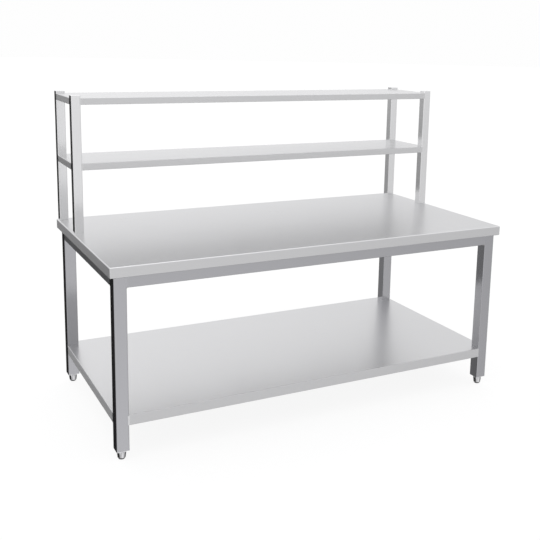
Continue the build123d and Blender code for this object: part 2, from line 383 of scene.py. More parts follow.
def polished_steel(name, colour):
    """Buffed bright steel with faint turning marks and a few rubbed patches."""

    def inputs(shader):
        place = shader.place()
        turning = shader.noise(shader.scaled(place, (2, 2, 2600)), 1.0, 2.0, 0.5)
        rubbed = shader.noise(place, 90.0, 4.0, 0.6)
        marks = shader.between(rubbed, 0.55, 0.8)
        base = shader.mix_colour(marks, colour_of(colour, 1.05), colour_of(colour, 0.82))
        return {
            "Base Color": base,
            "Metallic": 1.0,
            "Roughness": 0.03 + turning * 0.04 + marks * 0.08,
            "Normal": shader.bump(turning, 0.00003, 0.15),
        }

    return principled(name, inputs)


def fastener_steel(name):
    """Plain zinc-bright steel of nuts, screws and studs."""

    def inputs(shader):
        place = shader.place()
        spangle = shader.noise(place, 700.0, 3.0, 0.6)
        dirt = shader.noise(place, 120.0, 4.0, 0.6)
        base = shader.mix_colour(spangle, grey(0.42), grey(0.62))
        return {
            "Base Color": base,
            "Metallic": 1.0,
            "Roughness": 0.24 + dirt * 0.22,
            "Normal": shader.bump(spangle, 0.00005, 0.3),
        }

    return principled(name, inputs)


def weld_steel(name, colour):
    """Rippled weld metal with a straw and blue heat tint in its hollows."""

    def inputs(shader):
        place = shader.place()
        flow = shader.noise(place, 240.0, 4.0, 0.6)
        heat = shader.noise(place, 75.0, 3.0, 0.5)
        straw = shader.mix_colour(heat, colour_of(colour), (0.60, 0.50, 0.36, 1.0))
        blued = shader.between(heat, 0.58, 0.74)
        base = shader.mix_colour(blued, straw, (0.30, 0.33, 0.44, 1.0))
        return {
            "Base Color": base,
            "Metallic": 1.0,
            "Roughness": 0.26 + flow * 0.24,
            "Normal": shader.bump(flow, 0.0002, 0.4),
        }

    return principled(name, inputs)


def moulded_plastic(name, colour, roughness):
    """Moulded nylon with a fine spark-eroded texture and scuffed high spots."""

    def inputs(shader):
        place = shader.place()
        texture = shader.noise(place, 2200.0, 2.0, 0.5)
        scuffs = shader.noise(place, 160.0, 5.0, 0.65)
        scuffed = shader.between(scuffs, 0.5, 0.8)
        base = shader.mix_colour(scuffed, colour_of(colour), colour_of(colour, 0.82))
        return {
            "Base Color": base,
            "Roughness": roughness + texture * 0.1 + scuffed * 0.1,
            "Normal": shader.bump(texture, 0.00008, 0.5),
        }

    return principled(name, inputs)


def faced_board(name, colour):
    """Particle board faced with pale paper, through which its flakes just show."""

    def inputs(shader):
        place = shader.place()
        flakes = shader.node(
            "ShaderNodeTexVoronoi", {}, {"Vector": place, "Scale": 230.0}, output="Color"
        )
        chip = shader.node("ShaderNodeSeparateColor", {}, {"Color": flakes}, output="Red")
        fibre = shader.noise(shader.scaled(place, (60, 900, 900)), 1.0, 4.0, 0.6)
        tone = chip * 0.6 + fibre * 0.4
        return {
            "Base Color": shader.mix_colour(tone, colour_of(colour, 0.9), colour_of(colour, 1.08)),
            "Roughness": 0.58 + fibre * 0.2,
            "Normal": shader.bump(tone, 0.0003, 0.4),
        }

    return principled(name, inputs)


def make_finishes():
    """Every finish of the table."""
    colours = settings().colours
    brushed_steel("worktop_satin", colours.sheet, "x", 0.29, 0.2)
    brushed_steel("undershelf_satin", colours.sheet, "x", 0.29, 0.3)
    brushed_steel("shelf_satin", colours.sheet, "x", 0.25, 0.2)
    brushed_steel("leg_satin", colours.frame_tube, "z", 0.15)
    brushed_steel("long_rail_satin", colours.frame_tube, "x", 0.32)
    brushed_steel("end_rail_satin", colours.frame_tube, "y", 0.36)
    brushed_steel("post_satin", colours.post_tube, "z", 0.18)
    brushed_steel("ground_frame_weld", colours.frame_tube, "z", 0.15)
    brushed_steel("ground_shelf_weld", colours.sheet, "z", 0.26)
    mill_steel("mill_steel", colours.mill)
    polished_steel("polished_steel", colours.polished)
    polished_steel("turned_steel", colours.insert)
    fastener_steel("fastener_steel")
    weld_steel("weld_steel", colours.mill)
    moulded_plastic("pad_nylon", colours.pad, 0.5)
    faced_board("faced_board", colours.core)


def finish_named(name):
    """A finish, made with all the others the first time one is asked for."""
    if name not in bpy.data.materials:
        make_finishes()
    return bpy.data.materials[name]


def repaint(node, finish_name):
    """Gives a CAD node that keeps its own mesh a better finish."""
    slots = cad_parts[node].material_slots
    for material_slot in slots:
        material_slot.material = finish_named(finish_name)


# --- Mesh code ------------------------------------------------------------------------

SHARP_ANGLE = math.radians(32)
MERGE_DISTANCE = 1e-6


def place_piece(bm, name, finish_name, body=BODY, stands_for=()):
    """Turns a bmesh into a named piece that rides on a body and stands for CAD nodes."""
    bmesh.ops.remove_doubles(bm, verts=bm.verts, dist=MERGE_DISTANCE)
    bmesh.ops.recalc_face_normals(bm, faces=bm.faces)
    for face in bm.faces:
        face.smooth = True
    for edge in bm.edges:
        if edge.calc_face_angle(0) > SHARP_ANGLE:
            edge.smooth = False
    mesh = bpy.data.meshes.new(name)
    bm.to_mesh(mesh)
    bm.free()
    piece = bpy.data.objects.new(name, mesh)
    bpy.context.scene.collection.objects.link(piece)
    mesh.materials.append(finish_named(finish_name))
    weighted = piece.modifiers.new("flat_face_shading", "WEIGHTED_NORMAL")
    weighted.keep_sharp = True
    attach(piece, body)
    if stands_for:
        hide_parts(*stands_for)


def rounded_outline(width, depth, radius, steps):
    """Points of a rounded rectangle about the origin, counter-clockwise."""
    points = []
    corners = ((1, 1), (-1, 1), (-1, -1), (1, -1))
    for quarter, (sx, sy) in enumerate(corners):
        centre_x = sx * (width / 2 - radius)
        centre_y = sy * (depth / 2 - radius)
        for step in range(steps + 1):
            angle = (quarter + step / steps) * math.pi / 2
            x = centre_x + radius * math.cos(angle)
            y = centre_y + radius * math.sin(angle)
            points.append((x, y))
    return points


def circle_outline(radius, count):
    """Points of a circle about the origin, counter-clockwise."""
    turns = [FULL_TURN * number / count for number in range(count)]
    return [(radius * math.cos(turn), radius * math.sin(turn)) for turn in turns]


def add_loop(bm, points, wear=0.0, fold=0.0):
    """Adds one loop of vertices, with how worn that edge is and how far the sheet is folded."""
    floats = bm.verts.layers.float
    if "worn_edge" not in floats:
        floats.new("worn_edge")
        floats.new("folded_side")
    loop = [bm.verts.new(point) for point in points]
    for vert in loop:
        vert[floats["worn_edge"]] = wear
        vert[floats["folded_side"]] = fold
    return loop


def skin_loops(bm, loops, ring=False):
    """Joins neighbouring loops with quads, and the last to the first if it is a ring."""
    pairs = list(zip(loops, loops[1:]))
    if ring:
        pairs.append((loops[-1], loops[0]))
    for lower, upper in pairs:
        count = len(lower)
        for number in range(count):
            following = (number + 1) % count
            bm.faces.new((lower[number], lower[following], upper[following], upper[number]))


def cap_loop(bm, loop):
    """Closes a loop with one face."""
    bm.faces.new(loop)


def skin_and_cap(bm, loops):
    """Joins neighbouring loops and closes both ends."""
    skin_loops(bm, loops)
    cap_loop(bm, loops[0])
    cap_loop(bm, loops[-1])


def lathe(bm, profile, centre, count):
    """Turns a (radius, height) profile about a vertical axis, closed there or round on itself."""
    loops = []
    for radius, height in profile:
        outline = circle_outline(radius, count)
        loops.append(add_loop(bm, [centre + Vector((x, y, height)) for x, y in outline]))
    skin_loops(bm, loops, ring=profile[0][0] > 0)


def rounded_profile(points, steps):
    """A (radius, height) profile with each (r, z, rounding) corner rounded."""
    rounded = []
    count = len(points)
    for number, (r, z, rounding) in enumerate(points):
        here = Vector((r, z))
        if rounding == 0:
            rounded.append((r, z))
            continue
        before = (Vector(points[number - 1][:2]) - here).normalized()
        after = (Vector(points[(number + 1) % count][:2]) - here).normalized()
        half = before.angle(after) / 2
        reach = rounding / math.tan(half)
        centre = here + (before + after).normalized() * (rounding / math.sin(half))
        start = here + before * reach - centre
        sweep = start.angle_signed(here + after * reach - centre)
        for step in range(steps + 1):
            turn = -sweep * step / steps
            point = centre + Vector(
                (
                    start.x * math.cos(turn) - start.y * math.sin(turn),
                    start.x * math.sin(turn) + start.y * math.cos(turn),
                )
            )
            rounded.append((point.x, point.y))
    return rounded


def square_tube(bm, start, along, side, width, depth, length):
    """A rounded square tube with deburred ends, from start along one axis."""
    sheets = settings().sheets
    up = along.cross(side)
    deburr = sheets.tube_wall * 0.2
    inner = sheets.tube_corner - sheets.tube_wall
    outer_loop = (width, depth, sheets.tube_corner)
    shrunk = (width - 2 * deburr, depth - 2 * deburr, sheets.tube_corner - deburr)
    hollow = (width - 2 * sheets.tube_wall, depth - 2 * sheets.tube_wall, inner)
    stations = (
        (outer_loop, deburr, 0.0),
        (outer_loop, length - deburr, 0.0),
        (shrunk, length, 0.6),
        (hollow, length, 0.2),
        (hollow, 0.0, 0.2),
        (shrunk, 0.0, 0.6),
    )
    loops = []
    for (across, over, radius), distance, wear in stations:
        outline = rounded_outline(across, over, radius, sheets.bend_steps)
        points = [start + along * distance + side * a + up * b for a, b in outline]
        loops.append(add_loop(bm, points, wear))
    skin_loops(bm, loops, ring=True)


def folded_tray(bm, low, high, sheet, bend, lip):
    """A sheet folded down on four sides over a box, with return lips and rounded corners."""
    steps = settings().sheets.bend_steps
    centre = (low + high) / 2
    width, depth = high.x - low.x, high.y - low.y
    inner_bend = bend - sheet
    loops = []

    def station(inset, height, radius, wear=0.0, fold=1.0):
        outline = rounded_outline(width - 2 * inset, depth - 2 * inset, max(radius, 0.0), steps)
        points = [Vector((centre.x + x, centre.y + y, height)) for x, y in outline]
        loops.append(add_loop(bm, points, wear, fold))

    quarter = [math.pi / 2 * step / steps for step in range(steps + 1)]
    # Outside: from the flat top over the bend, down the side and round to the lip.
    for angle in quarter:
        inset = bend - bend * math.sin(angle)
        height = high.z - bend + bend * math.cos(angle)
        station(inset, height, bend - inset, math.sin(2 * angle), math.sin(angle))
    low_bend = inner_bend * 0.5 + sheet
    for angle in quarter:
        inset = low_bend - low_bend * math.cos(angle)
        height = low.z + low_bend - low_bend * math.sin(angle)
        station(inset, height, bend - inset, 0.7 * math.sin(2 * angle))
    station(lip, low.z, 0.0, 0.4)
    station(lip, low.z + sheet, 0.0, 0.4)
    # Inside: back along the lip, up the side and under the top.
    small = low_bend - sheet
    for angle in reversed(quarter):
        inset = low_bend - small * math.cos(angle)
        height = low.z + low_bend - small * math.sin(angle)
        station(inset, height, bend - inset)
    for angle in reversed(quarter):
        inset = bend - inner_bend * math.sin(angle)
        height = high.z - bend + inner_bend * math.cos(angle)
        station(inset, height, bend - inset)
    skin_and_cap(bm, loops)


def add_box(bm, low, high):
    """A plain closed box, for cutters."""
    corners = []
    for z in (low.z, high.z):
        for x, y in ((low.x, low.y), (high.x, low.y), (high.x, high.y), (low.x, high.y)):
            corners.append(bm.verts.new((x, y, z)))
    skin_and_cap(bm, [corners[:4], corners[4:]])


def cut_away(bm, add_cutters):
    """The bmesh with the cutters' solids removed from it."""
    bmesh.ops.remove_doubles(bm, verts=bm.verts, dist=MERGE_DISTANCE)
    bmesh.ops.recalc_face_normals(bm, faces=bm.faces)
    cutters = bmesh.new()
    add_cutters(cutters)
    bmesh.ops.recalc_face_normals(cutters, faces=cutters.faces)
    objects = []
    for label, source in (("work", bm), ("cutters", cutters)):
        mesh = bpy.data.meshes.new(label)
        source.to_mesh(mesh)
        source.free()
        thing = bpy.data.objects.new(label, mesh)
        bpy.context.scene.collection.objects.link(thing)
        objects.append(thing)
    work, tool = objects
    cut = work.modifiers.new("cut", "BOOLEAN")
    cut.operation = "DIFFERENCE"
    cut.solver = "EXACT"
    cut.object = tool
    evaluated = work.evaluated_get(bpy.context.evaluated_depsgraph_get())
    result = bmesh.new()
    result.from_mesh(evaluated.to_mesh())
    evaluated.to_mesh_clear()
    for thing in objects:
        mesh = thing.data
        bpy.data.objects.remove(thing)
        bpy.data.meshes.remove(mesh)
    return result


def hex_piece(bm, centre, across_flats, bore, height):
    """A chamfered hexagon standing on centre: a nut with a bore, a screw's head without."""
    per_side = 8
    count = 6 * per_side
    crown = across_flats / 2 * 0.94
    slope = math.tan(math.radians(30))
    flats = []
    for number in range(count):
        turn = FULL_TURN * number / count
        from_flat = (turn + math.pi / 6) % (math.pi / 3) - math.pi / 6
        flats.append(across_flats / 2 / math.cos(from_flat))
    turns = [FULL_TURN * number / count for number in range(count)]
    rim = [max(0.0, radius - crown) * slope for radius in flats]

    def ring(radii, heights, wear=0.0):
        points = []
        for turn, radius, level in zip(turns, radii, heights):
            spoke = Vector((radius * math.cos(turn), radius * math.sin(turn), level))
            points.append(centre + spoke)
        return add_loop(bm, points, wear)

    flat = [0.0] * count
    full = [height] * count
    loops = [
        ring([crown] * count, flat, 0.3),
        ring(flats, rim, 1.0),
        ring(flats, [height - drop for drop in rim], 1.0),
        ring([crown] * count, full, 0.3),
    ]
    if not bore:
        skin_and_cap(bm, loops)
        return
    relief = bore * 0.08
    loops.append(ring([bore / 2 + relief] * count, full))
    loops.append(ring([bore / 2] * count, [height - relief] * count))
    loops.append(ring([bore / 2] * count, [relief] * count))
    loops.append(ring([bore / 2 + relief] * count, flat))
    skin_loops(bm, loops, ring=True)


def threaded_rod(bm, centre, bottom, top, diameter, pitch, count=32):
    """A screw thread between two heights: one helical skin, fading out at both ends."""
    profile = (0.0, 0.45, 0.95, 1.0, 0.55, 0.05)
    per_turn = len(profile)
    depth = pitch * 0.5
    rows = math.ceil((top - bottom) / pitch * per_turn) + per_turn + 2
    columns = []
    for number in range(count):
        turn = FULL_TURN * number / count
        points = []
        for row in range(rows):
            height = bottom - pitch + pitch * (number / count + row / per_turn)
            height = min(max(height, bottom), top)
            fade = min(1.0, (height - bottom) / pitch, (top - height) / pitch)
            radius = diameter / 2 - depth * (1.0 - profile[row % per_turn] * fade)
            spoke = Vector((radius * math.cos(turn), radius * math.sin(turn), height))
            points.append(centre + spoke)
        columns.append(add_loop(bm, points, 0.2))
    for number, column in enumerate(columns):
        last = number == count - 1
        following = columns[0][per_turn:] if last else columns[number + 1]
        for (a, b), (c, d) in zip(zip(column, column[1:]), zip(following, following[1:])):
            bm.faces.new((a, c, d, b))
    cap_loop(bm, [column[0] for column in columns])
    cap_loop(bm, [column[-1] for column in columns])


def weld_bead(bm, start, end, side, up, width, ripple):
    """A rippled fillet weld bead from start to end, in the corner between side and up."""
    along = end - start
    length = along.length
    along.normalize()
    rings = max(4, int(length / ripple * 4))
    arc = 7
    loops = []
    for number in range(rings + 1):
        share = number / rings
        taper = min(1.0, math.sin(math.pi * share) * 3.0 + 0.25)
        swell = 1.0 + 0.10 * math.cos(FULL_TURN * share * length / ripple)
        size = width * taper * swell
        here = start + along * (length * share)
        points = [here - (side + up) * (width * 0.12)]
        for step in range(arc + 1):
            angle = math.pi / 2 * step / arc
            bulge = size * (0.78 + 0.10 * math.sin(2 * angle))
            points.append(here + side * (bulge * math.cos(angle)) + up * (bulge * math.sin(angle)))
        loops.append(add_loop(bm, points))
    skin_and_cap(bm, loops)


def ground_seam(bm, corner, across, outward, low, high):
    """A weld ground flush in the groove where a rounded tube corner meets a flat end."""
    proud = 0.00012
    reach = settings().sheets.tube_corner
    section = (
        (-1.5 * reach, 0.0),
        (-0.9 * reach, proud * 0.8),
        (0.0, proud),
        (0.7 * reach, proud * 0.8),
        (1.2 * reach, 0.0),
        (0.0, -reach),
    )
    rings = 9
    loops = []
    for number in range(rings):
        share = number / (rings - 1)
        height = low + (high - low) * share
        waver = 1.0 + 0.08 * math.sin(share * 9.0)
        points = []
        for a, out in section:
            flat = corner + across * (a * waver) + outward * out
            points.append(Vector((flat.x, flat.y, height)))
        loops.append(add_loop(bm, points, 0.1))
    skin_and_cap(bm, loops)


def corner_seams(bm, node, signs, bottom, top):
    """Two ground seams, one on each outer face of a leg or post, at its inner edge."""
    sx, sy = signs
    outer, inner = plan_corners(node, sx, sy)
    front_corner = Vector((inner.x, outer.y, 0))
    ground_seam(bm, front_corner, Vector((-sx, 0, 0)), Vector((0, sy, 0)), bottom, top)
    side_corner = Vector((outer.x, inner.y, 0))
    ground_seam(bm, side_corner, Vector((0, -sy, 0)), Vector((sx, 0, 0)), bottom, top)


# --- Pieces ------------------------------------------------------------------------------


class PieceOperator(bpy.types.Operator):
    """Shared settings of the operators that build pieces."""

    bl_options = {"REGISTER", "UNDO"}


class WORKTABLE_OT_worktop(PieceOperator):
    """Build the folded worktop skin and finish the board and channels under it"""

    bl_idname = "worktable.worktop"
    bl_label = "Worktop"

    def execute(self, context):
        sheets = settings().sheets
        low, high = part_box("worktop_skin")
        bm = bmesh.new()
        folded_tray(bm, low, high, sheets.worktop_sheet, sheets.worktop_bend, sheets.worktop_lip)
        bm = cut_away(bm, lambda cutters: self.add_mitres(cutters, low, high))
        place_piece(bm, "worktop", "worktop_satin", stands_for=["worktop_skin"])
        repaint("worktop_core", "faced_board")
        for number in range(1, 6):
            repaint(f"worktop_channel_{number}", "mill_steel")
        repaint("worktop_fixing_angles", "mill_steel")
        return {"FINISHED"}

    @staticmethod
    def add_mitres(cutters, low, high):
        """Thin slots that part the return lips at the four corners."""
        sheets = settings().sheets
        half_gap = sheets.worktop_sheet * 0.5
        start = sheets.worktop_bend * 1.2
        end = sheets.worktop_lip * 1.5
        for sx, sy in (corner_signs(corner) for corner in CORNERS):
            tip = Vector((high.x if sx > 0 else low.x, high.y if sy > 0 else low.y, 0))
            inward = Vector((-sx, -sy, 0))
            across = Vector((-sy, sx, 0)).normalized() * half_gap
            loops = []
            for z in (low.z - sheets.worktop_sheet, low.z + 2 * sheets.worktop_sheet):
                level = Vector((0, 0, z))
                corners = (
                    tip + inward * start - across,
                    tip + inward * end - across,
                    tip + inward * end + across,
                    tip + inward * start + across,
                )
                loops.append([cutters.verts.new(corner + level) for corner in corners])
            skin_and_cap(cutters, loops)


def tube_piece(node, along, side, finish_name):
    """Builds one tube of the frame or overshelf over its CAD node."""
    low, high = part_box(node)
    size = high - low
    up = along.cross(side)
    middle = (low + high) / 2
    length = abs(size.dot(along))
    start = middle - along * (length / 2)
    width = abs(size.dot(side))
    depth = abs(size.dot(up))
    bm = bmesh.new()
    square_tube(bm, start, along, side, width, depth, length)
    return place_piece(bm, f"{node}_tube", finish_name, stands_for=[node])


class WORKTABLE_OT_base_frame(PieceOperator):
    """Build the legs and rails, the welds that join them and the brackets' finish"""

    bl_idname = "worktable.base_frame"
    bl_label = "Base Frame"

    def execute(self, context):
        for corner in CORNERS:
            tube_piece(f"leg_{corner}", Z_AXIS, X_AXIS, "leg_satin")
            repaint(f"undershelf_bracket_{corner}", "mill_steel")
        for end in ("front", "rear"):
            tube_piece(f"rail_{end}", X_AXIS, Y_AXIS, "long_rail_satin")
        for side in ("left", "right"):
            tube_piece(f"rail_{side}", Y_AXIS, X_AXIS, "end_rail_satin")
        self.ground_seams()
        self.fillet_welds()
        return {"FINISHED"}

    @staticmethod
    def ground_seams():
        """Flush seams on the outer faces, where each rail meets a leg."""
        corner_round = settings().sheets.tube_corner
        low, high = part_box("rail_front")
        bottom, top = low.z + corner_round * 0.3, high.z - corner_round * 0.3
        bm = bmesh.new()
        for corner in CORNERS:
            corner_seams(bm, f"leg_{corner}", corner_signs(corner), bottom, top)
        place_piece(bm, "ground_seams_of_frame", "ground_frame_weld")

    @staticmethod
    def fillet_welds():
        """Rippled beads where the rails' inner and lower faces meet the legs."""
        sizes = settings().fasteners
        bead = (sizes.weld_width, sizes.weld_ripple)
        corner_round = settings().sheets.tube_corner
        bm = bmesh.new()
        for corner in CORNERS:
            sx, sy = corner_signs(corner)
            inner = plan_corners(f"leg_{corner}", sx, sy)[1]
            for rail, along, back in (
                ("front" if sy < 0 else "rear", Vector((-sx, 0, 0)), Vector((0, -sy, 0))),
                ("left" if sx < 0 else "right", Vector((0, -sy, 0)), Vector((-sx, 0, 0))),
            ):
                low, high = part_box(f"rail_{rail}")
                thickness = abs((high - low).dot(back))
                outer_face = abs(middle_of(f"rail_{rail}").dot(back)) + thickness / 2
                face = outer_face - thickness
                on_leg = along * inner.dot(along)
                edge = on_leg - back * face
                bottom = Vector((0, 0, low.z + corner_round))
                top = Vector((0, 0, high.z - corner_round))
                weld_bead(bm, edge + bottom, edge + top, along, back, *bead)
                under_start = on_leg - back * (face + corner_round) + Vector((0, 0, low.z))
                under_end = on_leg - back * (outer_face - corner_round) + Vector((0, 0, low.z))
                weld_bead(bm, under_start, under_end, along, -Z_AXIS, *bead)
        place_piece(bm, "fillet_welds_of_frame", "weld_steel")


def notched_tray(node, posts, finish_name):
    """Builds a folded tray over its CAD node, cut round the legs or posts at its corners."""
    sheets = settings().sheets
    low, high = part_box(node)
    bm = bmesh.new()
    folded_tray(bm, low, high, sheets.shelf_sheet, sheets.shelf_bend, sheets.shelf_lip)
    clear = sheets.shelf_sheet

    def notches(cutters):
        for post in posts:
            post_low, post_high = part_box(post)
            outward = Vector((math.copysign(clear, post_low.x), 0, 0))
            centre = (post_low + post_high) / 2
            sy = 1 if centre.y > (low.y + high.y) / 2 else -1
            outward.y = sy * clear
            start = Vector((post_low.x, post_low.y, low.z - clear))
            end = Vector((post_high.x, post_high.y, high.z + clear))
            for axis in (0, 1):
                if outward[axis] > 0:
                    end[axis] += clear
                else:
                    start[axis] -= clear
            add_box(cutters, start, end)

    bm = cut_away(bm, notches)
    # The cuts clear what was painted, so the folded sides are marked again.
    folded = bm.verts.layers.float["folded_side"]
    for vert in bm.verts:
        vert[folded] = 1.0 if vert.co.z < high.z - MERGE_DISTANCE else 0.0
    return place_piece(bm, f"{node}_tray", finish_name, stands_for=[node])


def tray_seams(node, posts, name):
    """Flush seams where a tray's sides meet the rounded corners of its legs or posts."""
    corner_round = settings().sheets.tube_corner
    low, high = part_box(node)
    bottom, top = low.z + corner_round * 0.5, high.z - corner_round * 0.5
    middle_y = (low.y + high.y) / 2
    bm = bmesh.new()
    for post in posts:
        post_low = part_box(post)[0]
        signs = (1 if post_low.x > 0 else -1, 1 if post_low.y > middle_y else -1)
        corner_seams(bm, post, signs, bottom, top)
    place_piece(bm, name, "ground_shelf_weld")


class WORKTABLE_OT_undershelf(PieceOperator):
    """Build the folded undershelf and finish the channels under it"""

    bl_idname = "worktable.undershelf"
    bl_label = "Undershelf"

    def execute(self, context):
        legs = [f"leg_{corner}" for corner in CORNERS]
        notched_tray("undershelf_panel", legs, "undershelf_satin")
        tray_seams("undershelf_panel", legs, "ground_seams_of_undershelf")
        for number in range(1, 4):
            repaint(f"undershelf_channel_{number}", "mill_steel")
        return {"FINISHED"}


class WORKTABLE_OT_overshelf(PieceOperator):
    """Build the posts, their caps and the two shelves of the overshelf"""

    bl_idname = "worktable.overshelf"
    bl_label = "Overshelf"

    def execute(self, context):
        posts = [f"post_{corner}" for corner in CORNERS]
        for corner in CORNERS:
            tube_piece(f"post_{corner}", Z_AXIS, X_AXIS, "post_satin")
            self.cap(corner)
        for level in ("middle", "top"):
            notched_tray(f"{level}_shelf_panel", posts, "shelf_satin")
            tray_seams(f"{level}_shelf_panel", posts, f"ground_seams_of_{level}_shelf")
            repaint(f"{level}_shelf_channel", "mill_steel")
        repaint("shelf_cleats", "mill_steel")
        self.cleat_welds()
        return {"FINISHED"}

    @staticmethod
    def cap(corner):
        """A slightly domed square cap, welded on and ground at its edge."""
        node = f"post_cap_{corner}"
        low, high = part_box(node)
        centre = (low + high) / 2
        width = high.x - low.x
        rise = high.z - low.z
        corner_round = settings().sheets.tube_corner
        steps = settings().sheets.bend_steps
        bm = bmesh.new()
        loops = []
        stations = ((0.0, 0.0, 0.2), (0.0, 0.30, 0.5), (0.008, 0.52, 1.0), (0.03, 0.68, 0.8))
        crown = ((0.08, 0.78, 0.3), (0.2, 0.9, 0.0), (0.35, 0.97, 0.0), (0.49, 1.0, 0.0))
        for inset, lift, wear in stations + crown:
            span = width * (1 - 2 * inset)
            radius = min(corner_round * (1 + 5 * inset), span / 2.01)
            outline = rounded_outline(span, span, radius, steps)
            height = low.z + rise * lift
            points = [Vector((centre.x + x, centre.y + y, height)) for x, y in outline]
            loops.append(add_loop(bm, points, wear))
        skin_and_cap(bm, loops)
        place_piece(bm, f"{node}_plate", "post_satin", stands_for=[node])

    @staticmethod
    def cleat_welds():
        """Beads down both sides of each cleat where it meets its post."""
        sizes = settings().fasteners
        bm = bmesh.new()
        leg_length = 0.025
        half = 0.015
        for level in ("middle", "top"):
            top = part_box(f"{level}_shelf_panel")[1].z - settings().sheets.shelf_sheet
            for corner in CORNERS:
                sx = corner_signs(corner)[0]
                post = f"post_{corner}"
                low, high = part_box(post)
                face = low.x if sx > 0 else high.x
                middle_y = (low.y + high.y) / 2
                for sy in (-1, 1):
                    edge = Vector((face, middle_y + sy * half, top))
                    weld_bead(
                        bm,
                        edge - Z_AXIS * leg_length * 0.95,
                        edge - Z_AXIS * leg_length * 0.1,
                        Vector((-sx, 0, 0)),
                        Vector((0, sy, 0)),
                        sizes.weld_width * 0.6,
                        sizes.weld_ripple,
                    )
        place_piece(bm, "cleat_welds", "weld_steel")


def node_islands(node):
    """The box of each separate solid in a CAD node, as (low, high) pairs."""
    bm = bmesh.new()
    bm.from_mesh(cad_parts[node].data)
    bmesh.ops.remove_doubles(bm, verts=bm.verts, dist=MERGE_DISTANCE)
    seen = set()
    boxes = []
    for start in bm.verts:
        if start in seen:
            continue
        stack = [start]
        seen.add(start)
        low = start.co.copy()
        high = start.co.copy()
        while stack:
            vert = stack.pop()
            for axis in range(3):
                low[axis] = min(low[axis], vert.co[axis])
                high[axis] = max(high[axis], vert.co[axis])
            for edge in vert.link_edges:
                other = edge.other_vert(vert)
                if other not in seen:
                    seen.add(other)
                    stack.append(other)
        boxes.append((low, high))
    bm.free()
    return boxes


class WORKTABLE_OT_fasteners(PieceOperator):
    """Build the nuts, studs, washers and screws that hold the table together"""

    bl_idname = "worktable.fasteners"
    bl_label = "Fasteners"

    def execute(self, context):
        self.nuts("undershelf_nuts", across_flats=0.010, bore=0.006)
        self.nuts("shelf_nuts", across_flats=0.008, bore=0.005)
        self.nuts("post_base_nuts", across_flats=0.016, bore=0.010)
        self.studs("undershelf_studs", pitch=0.001)
        self.studs("shelf_studs", pitch=0.0008)
        self.screws()
        self.washers()
        repaint("post_base_studs", "fastener_steel")
        repaint("thread_bushes", "fastener_steel")
        return {"FINISHED"}

    @staticmethod
    def nuts(node, across_flats, bore):
        """Chamfered hexagon nuts over a CAD node's plain ones."""
        bm = bmesh.new()
        for low, high in node_islands(node):
            middle = (low + high) / 2
            centre = Vector((middle.x, middle.y, low.z))
            hex_piece(bm, centre, across_flats, bore, high.z - low.z)
        place_piece(bm, f"{node}_hex", "fastener_steel", stands_for=[node])

    @staticmethod
    def studs(node, pitch):
        """Threaded studs over a CAD node's plain ones."""
        bm = bmesh.new()
        for low, high in node_islands(node):
            middle = (low + high) / 2
            centre = Vector((middle.x, middle.y, 0))
            threaded_rod(bm, centre, low.z, high.z, high.x - low.x, pitch, count=20)
        place_piece(bm, f"{node}_threaded", "fastener_steel", stands_for=[node])

    @staticmethod
    def screws():
        """Flange-head screws up through the fixing angles."""
        node = "worktop_fixing_screws"
        across_flats = 0.010
        head_height = 0.004
        flange = 0.0012
        shank = 0.003
        bm = bmesh.new()
        for low, high in node_islands(node):
            middle = (low + high) / 2
            centre = Vector((middle.x, middle.y, low.z))
            length = high.z - low.z
            hex_piece(bm, centre, across_flats, 0, head_height - flange / 2)
            profile = rounded_profile(
                (
                    (0, head_height - flange, 0),
                    (across_flats * 0.62, head_height - flange, 0.0004),
                    (across_flats * 0.66, head_height, 0.0001),
                    (shank, head_height, 0.0002),
                    (shank, length - 0.001, 0.0003),
                    (shank * 0.75, length, 0.0001),
                    (0, length, 0),
                ),
                3,
            )
            lathe(bm, profile, centre, 24)
        place_piece(bm, f"{node}_flanged", "fastener_steel", stands_for=[node])

    @staticmethod
    def washers():
        """Plain washers with rounded edges."""
        node = "post_base_washers"
        bm = bmesh.new()
        for low, high in node_islands(node):
            middle = (low + high) / 2
            centre = Vector((middle.x, middle.y, low.z))
            outer = (high.x - low.x) / 2
            thickness = high.z - low.z
            bore = 0.00525
            profile = rounded_profile(
                (
                    (bore, 0.0, 0.0002),
                    (outer, 0.0, 0.0005),
                    (outer, thickness, 0.0005),
                    (bore, thickness, 0.0002),
                ),
                3,
            )
            lathe(bm, profile, centre, 40)
        place_piece(bm, f"{node}_round", "fastener_steel", stands_for=[node])


